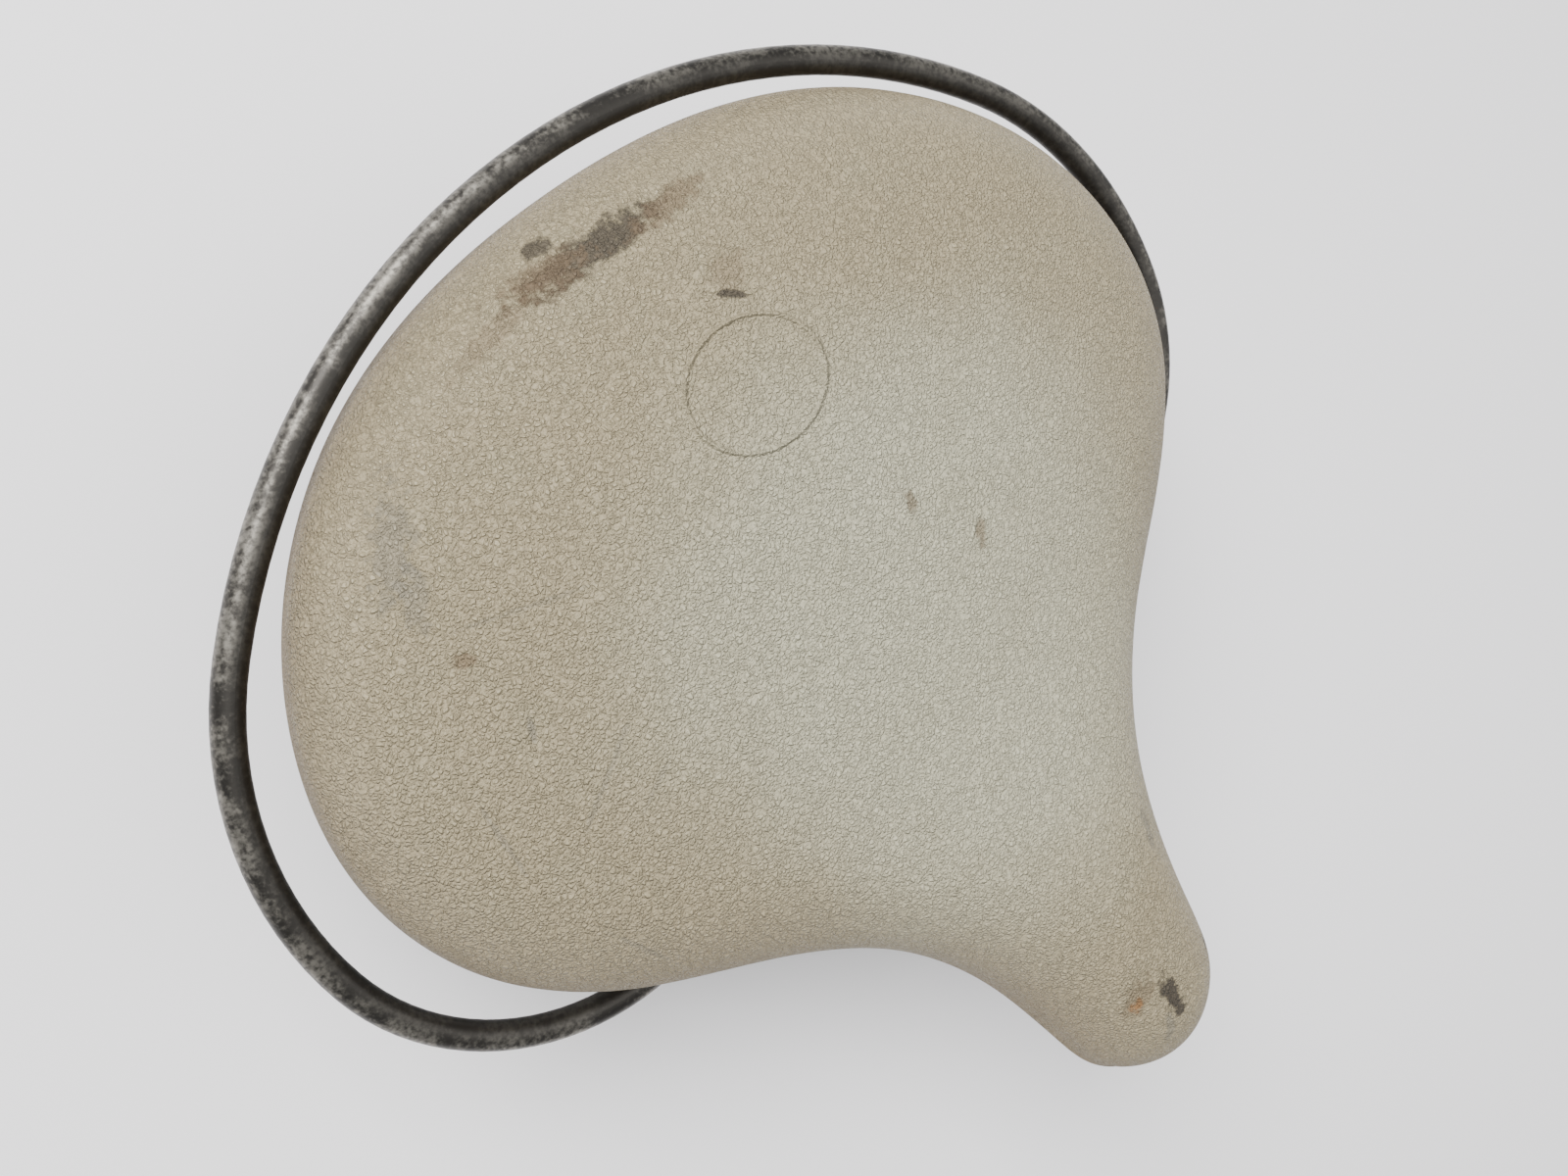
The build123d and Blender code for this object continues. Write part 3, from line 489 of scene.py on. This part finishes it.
def felt_material():
    material, tree, shader, place = new_material("Pressed Felt")
    fibre = noise_value(tree, place, 900.0, 6.0, 0.7)
    colour = blend_colour(tree, fibre, (0.20, 0.17, 0.13), (0.40, 0.35, 0.27))
    tree.links.new(colour, shader.inputs["Base Color"])
    shader.inputs["Roughness"].default_value = 0.95
    add_bump(tree, shader, fibre, 0.0004)
    return material


def slot_materials():
    """One procedural finish for each steel slot of the record."""
    black = (0.022, 0.021, 0.020)
    enamel = (0.018, 0.018, 0.018)
    bright = (0.52, 0.51, 0.48)
    zinc = (0.42, 0.41, 0.38)
    steel = (0.30, 0.29, 0.27)
    return {
        "pan_steel": worn_material("Pan Paint", black, (0.10, 0.09, 0.08), 0.25, 0.42, 0.35, 0.55, 60.0),
        "band_steel": worn_material("Band Steel", (0.16, 0.15, 0.14), steel, 0.7, 0.45, 0.4, 0.5),
        "bracket_steel": worn_material("Bracket Paint", black, steel, 0.3, 0.38, 0.30, 0.42, 90.0),
        "wire_steel": worn_material("Chassis Wire", (0.20, 0.19, 0.18), zinc, 0.9, 0.32, 0.5, 0.35),
        "spring_steel": worn_material("Spring Enamel", enamel, steel, 0.35, 0.30, 0.28, 0.35),
        "clamp_steel": worn_material("Clamp Zinc", (0.28, 0.275, 0.26), zinc, 0.9, 0.36, 0.5, 0.35),
        "fastener_steel": worn_material("Fastener Zinc", zinc, bright, 0.95, 0.30, 0.5, 0.30, 260.0),
        "rivet_steel": worn_material("Rivet Steel", steel, zinc, 0.9, 0.40, 0.5, 0.40, 260.0),
    }


# --- the seat's form ---------------------------------------------------------------------------
def spline_bends(knots, values, closed):
    """Second derivatives of a cubic spline through the values."""
    count = len(values)
    steps = np.diff(knots)
    system = np.zeros((count, count))
    right = np.zeros(values.shape)
    for index in range(count):
        if not closed and index in (0, count - 1):
            system[index, index] = 1.0
            continue
        before, after = steps[index - 1], steps[index % len(steps)]
        last, following = (index - 1) % count, (index + 1) % count
        system[index, last] += before
        system[index, index] += 2 * (before + after)
        system[index, following] += after
        rise = (values[following] - values[index]) / after - (values[index] - values[last]) / before
        right[index] = 6 * rise
    return np.linalg.solve(system, right)


def spline_at(knots, values, bends, at):
    index = min(max(int(np.searchsorted(knots, at, side="right")) - 1, 0), len(knots) - 2)
    following = (index + 1) % len(values)
    step = knots[index + 1] - knots[index]
    far, near = (knots[index + 1] - at) / step, (at - knots[index]) / step
    cubic = ((far ** 3 - far) * bends[index] + (near ** 3 - near) * bends[following]) * step ** 2 / 6
    return far * values[index] + near * values[following] + cubic


class SeatForm:
    """The cover's outline and top surface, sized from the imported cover."""

    def __init__(self, shape):
        low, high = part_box("cover")
        self.shape = shape
        self.rear, self.nose = high[1], low[1]
        self.length = self.rear - self.nose
        self.half = (high[0] - low[0]) / 2
        self.rim = low[2]
        shares = np.array([(self.rear - along * self.length, rise) for along, rise in reversed(SPINE)])
        self.spine_y, self.spine_rise = shares[:, 0], shares[:, 1]
        self.spine_bends = spline_bends(self.spine_y, self.spine_rise, False)
        highest = max(self.spine_height(y) for y in np.linspace(self.nose, self.rear, 80))
        self.lift = high[2] - self.rim - highest
        half = [(across * self.half, self.rear - along * self.length) for across, along in OUTLINE]
        points = np.array(half + [(-x, y) for x, y in reversed(half[1:-1])])
        chords = np.linalg.norm(np.roll(points, -1, axis=0) - points, axis=1)
        self.knots = np.concatenate([[0.0], np.cumsum(chords)])
        self.points = points
        self.bends = spline_bends(self.knots, points, True)

    def spine_height(self, y):
        return float(spline_at(self.spine_y, self.spine_rise, self.spine_bends, y))

    def outline(self, count):
        """Evenly spaced outline points and their inward directions."""
        fine = [spline_at(self.knots, self.points, self.bends, at)
                for at in np.linspace(0.0, self.knots[-1], count * 8 + 1)]
        fine = np.array(fine)
        run = np.concatenate([[0.0], np.cumsum(np.linalg.norm(np.diff(fine, axis=0), axis=1))])
        even = np.linspace(0.0, run[-1], count + 1)[:-1]
        places = np.stack([np.interp(even, run, fine[:, axis]) for axis in (0, 1)], axis=1)
        along = np.roll(places, -1, axis=0) - np.roll(places, 1, axis=0)
        along /= np.linalg.norm(along, axis=1)[:, None]
        return places, np.stack([along[:, 1], -along[:, 0]], axis=1)

    def rim_height(self, y):
        middle = (self.rear + self.nose) / 2
        return self.rim + self.shape.rim_rise * ((y - middle) / (self.length / 2)) ** 2

    def top_height(self, x, y):
        share = (self.rear - y) / self.length
        share = min(max((0.88 - share) / 0.5, 0.0), 1.0)
        smooth = share * share * (3 - 2 * share)
        nose_half = self.shape.nose_half
        fall = (x / (nose_half + (self.half - nose_half) * smooth)) ** 2
        crown = self.shape.crown_drop * fall / (1 + 0.15 * fall)
        return self.rim + self.lift + self.spine_height(y) - crown

    def swell(self, x, y, z):
        """A slow, uneven swelling of the stuffed top."""
        broad = noise.noise(Vector((x, y, z)) * 28.0)
        small = noise.noise(Vector((x, y, z)) * 75.0 + Vector((3.1, 7.7, 1.9)))
        return self.shape.softness * (broad + 0.35 * small)


def seat_rings(form, inset, lower, hem):
    """Rings of points from the hem's inner edge, round the side and over the top."""
    shape = form.shape
    places, inward = form.outline(shape.around)
    round_low = 0.003
    rings = []
    profile = [("hem", hem - (hem - round_low) * step / 4) for step in range(4)]
    profile += [("low", math.radians(18 * step)) for step in range(5)]
    profile += [("flank", step / 4) for step in range(4)]
    profile += [("round", math.radians(9 * step)) for step in range(10)]
    profile += [("top", 1 - step / 16) for step in range(17)]
    for kind, value in profile:
        ring = []
        for index, (place, towards) in enumerate(zip(places, inward)):
            middle_y = min(max(place[1], form.nose + NOSE_REACH), form.rear - REAR_REACH)
            reach = math.hypot(place[0], place[1] - middle_y)
            side = min(shape.edge_width, 0.6 * reach)
            rim = form.rim_height(place[1])
            edge = form.top_height(place[0] * 0.97, place[1]) - lower
            tall = min(shape.edge_height, edge - rim - 0.004)
            pleat = noise.noise(Vector((index * 0.21, 4.2, 0.0))) * PLEAT_HEIGHT
            if kind == "hem":
                drop, height = value, rim + pleat * (value / hem)
            elif kind == "low":
                drop = round_low * (1 - math.sin(value))
                height = rim + round_low * (1 - math.cos(value))
            elif kind == "flank":
                share = value * 0.75 + 0.12
                height = rim + round_low + (edge - tall - rim - round_low) * share
                drop = -FLANK_BULGE * math.sin(math.pi * share)
            elif kind == "round":
                drop = side * (1 - math.cos(value))
                height = None
            else:
                drop, height = side, None
            spot = np.array(place) + towards * (drop + inset)
            if kind == "top":
                middle = np.array((0.0, middle_y))
                spot = middle + (spot - middle) * value
            if height is None:
                height = form.top_height(spot[0], spot[1]) - lower
                share = 1.0
                if kind == "round":
                    height -= tall * (1 - math.sin(value))
                    share = math.sin(value)
                height += form.swell(spot[0], spot[1], height) * share
            ring.append((spot[0], spot[1], height))
        rings.append(ring)
    return rings


def mesh_object(name, build):
    """A new mesh object, filled by build(bmesh)."""
    mesh = bpy.data.meshes.new(name)
    made = bpy.data.objects.new(name, mesh)
    bpy.context.scene.collection.objects.link(made)
    form = bmesh.new()
    build(form)
    form.to_mesh(mesh)
    form.free()
    for polygon in mesh.polygons:
        polygon.use_smooth = True
    return made


def skin_from_rings(rings):
    """Quads between neighbouring rings, closed along the middle line of the top."""
    def build(form):
        rows = [[form.verts.new(point) for point in ring] for ring in rings]
        count = len(rings[0])
        for lower, upper in zip(rows, rows[1:]):
            for index in range(count):
                following = (index + 1) % count
                form.faces.new((lower[index], upper[index], upper[following], lower[following]))
        bmesh.ops.remove_doubles(form, verts=form.verts, dist=0.00002)
        bmesh.ops.dissolve_degenerate(form, edges=form.edges, dist=0.00001)
        bmesh.ops.recalc_face_normals(form, faces=form.faces)
    return build


def apply_modifiers(piece):
    """Replaces the piece's mesh by its evaluated one."""
    graph = bpy.context.evaluated_depsgraph_get()
    mesh = bpy.data.meshes.new_from_object(piece.evaluated_get(graph))
    piece.modifiers.clear()
    piece.data = mesh
    for polygon in mesh.polygons:
        polygon.use_smooth = True


def make_layer(name, form, inset, lower, hem, thick):
    piece = mesh_object(name, skin_from_rings(seat_rings(form, inset, lower, hem)))
    shell = piece.modifiers.new("Thickness", "SOLIDIFY")
    shell.thickness = thick
    shell.offset = -1.0
    smooth = piece.modifiers.new("Smooth", "SUBSURF")
    smooth.levels = smooth.render_levels = 1
    apply_modifiers(piece)
    return piece


# --- operators ---------------------------------------------------------------------------------------
class SADDLE_OT_cover(bpy.types.Operator):
    """Makes the stuffed vinyl cover with its turned hem"""
    bl_idname = "saddle.cover"
    bl_label = "Cover"

    def execute(self, context):
        shape = context.scene.saddle_shape
        form = SeatForm(shape)
        cover = make_layer("vinyl_cover", form, 0.0, 0.0, shape.hem_width, shape.vinyl_thick)
        cover.data.materials.clear()
        cover.data.materials.append(vinyl_material(context.scene.saddle_finish))
        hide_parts("cover")
        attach(cover, "seat")
        return {"FINISHED"}


class SADDLE_OT_padding(bpy.types.Operator):
    """Makes the felt layer between the cover and the pan"""
    bl_idname = "saddle.padding"
    bl_label = "Padding"

    def execute(self, context):
        shape = context.scene.saddle_shape
        form = SeatForm(shape)
        inset = shape.pad_inset
        pad = make_layer("felt_padding", form, inset, inset, shape.pad_thick, shape.pad_thick)
        lift_hem(pad, form, inset)
        pad.data.materials.clear()
        pad.data.materials.append(felt_material())
        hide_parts("padding")
        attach(pad, "seat")
        return {"FINISHED"}


def lift_hem(pad, form, inset):
    """Keeps the felt above the turned hem."""
    for vertex in pad.data.vertices:
        floor = form.rim_height(vertex.co.y) + inset
        vertex.co.z = max(vertex.co.z, floor)


class SADDLE_OT_springs(bpy.types.Operator):
    """Makes both coil springs with closed, ground end coils"""
    bl_idname = "saddle.springs"
    bl_label = "Coil springs"

    def execute(self, context):
        steel = context.scene["saddle_slots"]
        for side in SPRING_SIDES:
            name = f"coil_spring_{side}"
            low, high = (Vector(corner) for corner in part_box(name))
            spring = coil(f"enamelled_spring_{side}", low, high)
            spring.data.materials.append(bpy.data.materials[steel["spring_steel"]])
            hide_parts(name)
            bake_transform(spring)
        return {"FINISHED"}


def coil(name, low, high):
    """A coil that fills the box between two corners, with one dead turn at each end."""
    wire = SPRING_WIRE
    middle = (low + high) / 2
    radius = (high.x - low.x) / 2 - wire / 2
    turns, dead = SPRING_TURNS, 1.0
    sides, steps = 16, 40
    bottom, top = low.z + wire / 2, high.z - wire / 2
    dead_rise = wire * 0.98

    def height(turn):
        if turn <= dead:
            return bottom + dead_rise * turn
        if turn >= turns - dead:
            return top - dead_rise * (turns - turn)
        share = (turn - dead) / (turns - 2 * dead)
        start, end = bottom + dead_rise * dead, top - dead_rise * dead
        return start + (end - start) * share

    def build(form):
        rings = []
        for step in range(int(turns * steps) + 1):
            turn = step / steps
            angle = turn * math.tau
            outward = Vector((math.cos(angle), math.sin(angle), 0.0))
            centre = Vector((middle.x, middle.y, height(turn))) + outward * radius
            ring = []
            for side in range(sides):
                spoke = math.tau * side / sides
                aside = outward * math.cos(spoke) + Vector((0, 0, 1)) * math.sin(spoke)
                point = centre + aside * wire / 2
                point.z = min(max(point.z, low.z), high.z)
                ring.append(form.verts.new(point))
            rings.append(ring)
        for first, second in zip(rings, rings[1:]):
            for side in range(sides):
                following = (side + 1) % sides
                form.faces.new((first[side], first[following], second[following], second[side]))
        form.faces.new(list(reversed(rings[0])))
        form.faces.new(rings[-1])
        bmesh.ops.recalc_face_normals(form, faces=form.faces)
    return mesh_object(name, build)


class SADDLE_OT_metal(bpy.types.Operator):
    """Gives the hoop, pan, brackets, wires, clamp and screws their finishes"""
    bl_idname = "saddle.metal"
    bl_label = "Metal finishes"

    def execute(self, context):
        finishes = slot_materials()
        finishes["rail_steel"] = rod_material(context.scene.saddle_finish)
        context.scene["saddle_slots"] = {slot: material.name for slot, material in finishes.items()}
        for part in frame["record"]["subparts"]:
            material = finishes.get(part["material_slot"])
            if material is None:
                continue
            for slot in frame["nodes"][part["node"]].material_slots:
                slot.material = material
        return {"FINISHED"}


class SADDLE_OT_stage(bpy.types.Operator):
    """Sets the floor, the soft lights and the camera"""
    bl_idname = "saddle.stage"
    bl_label = "Stage"

    def execute(self, context):
        stage = context.scene.saddle_stage
        material, tree, shader, place = new_material("Pale Floor")
        shader.inputs["Base Color"].default_value = (*stage.floor, 1.0)
        shader.inputs["Roughness"].default_value = 0.6
        floor = mesh_object(
            "floor", lambda form: bmesh.ops.create_grid(form, x_segments=1, y_segments=1, size=FLOOR_HALF))
        floor.location.z = LOW[2]
        floor.data.materials.append(material)
        lights = [
            area_light("key", (-0.25, 0.95, 1.15), (0.0, 0.0, 0.06), 0.9, 36.0),
            area_light("fill", (0.9, -0.6, 1.0), (0.0, 0.0, 0.06), 1.2, 6.0),
            area_light("overhead", (-0.1, 0.0, 1.7), (0.0, 0.0, 0.0), 1.6, 16.0),
        ]
        world = bpy.data.worlds.new("Soft Studio")
        world.use_nodes = True
        world.node_tree.nodes["Background"].inputs["Color"].default_value = (0.92, 0.94, 0.96, 1.0)
        world.node_tree.nodes["Background"].inputs["Strength"].default_value = 0.50
        context.scene.world = world
        lens = bpy.data.cameras.new("camera")
        lens.lens = stage.lens
        lens.sensor_width = 36.0
        lens.clip_start = 0.01
        camera = bpy.data.objects.new("camera", lens)
        camera.location = stage.camera
        camera.rotation_euler = stage.aim
        context.scene.collection.objects.link(camera)
        context.scene.camera = camera
        return {"FINISHED"}


def area_light(name, place, target, size, power):
    lamp = bpy.data.lights.new(name, "AREA")
    lamp.shape = "SQUARE"
    lamp.size = size
    lamp.energy = power
    made = bpy.data.objects.new(name, lamp)
    made.location = place
    made.rotation_euler = (Vector(target) - Vector(place)).to_track_quat("-Z", "Y").to_euler()
    bpy.context.scene.collection.objects.link(made)
    return made


class SADDLE_PT_panel(bpy.types.Panel):
    """Lists the saddle's operators and settings"""
    bl_label = "Saddle"
    bl_idname = "SADDLE_PT_panel"
    bl_space_type = "VIEW_3D"
    bl_region_type = "UI"
    bl_category = "Saddle"

    def draw(self, context):
        for operator in OPERATORS:
            self.layout.operator(operator.bl_idname)
        scene = context.scene
        for settings in (scene.saddle_shape, scene.saddle_finish, scene.saddle_stage):
            for name in settings.__annotations__:
                self.layout.prop(settings, name)


OPERATORS = (SADDLE_OT_metal, SADDLE_OT_cover, SADDLE_OT_padding, SADDLE_OT_springs, SADDLE_OT_stage)
SETTINGS = {"saddle_shape": SaddleShape, "saddle_finish": SaddleFinish, "saddle_stage": SaddleStage}


def register():
    for name, settings in SETTINGS.items():
        bpy.utils.register_class(settings)
        setattr(bpy.types.Scene, name, bpy.props.PointerProperty(type=settings))
    for item in (*OPERATORS, SADDLE_PT_panel):
        bpy.utils.register_class(item)


def unregister():
    for item in (SADDLE_PT_panel, *reversed(OPERATORS)):
        bpy.utils.unregister_class(item)
    for name, settings in SETTINGS.items():
        delattr(bpy.types.Scene, name)
        bpy.utils.unregister_class(settings)


def main():
    register()
    bpy.ops.saddle.metal()
    bpy.ops.saddle.cover()
    bpy.ops.saddle.padding()
    bpy.ops.saddle.springs()
    bpy.ops.saddle.stage()


if __name__ == "__main__":
    main()
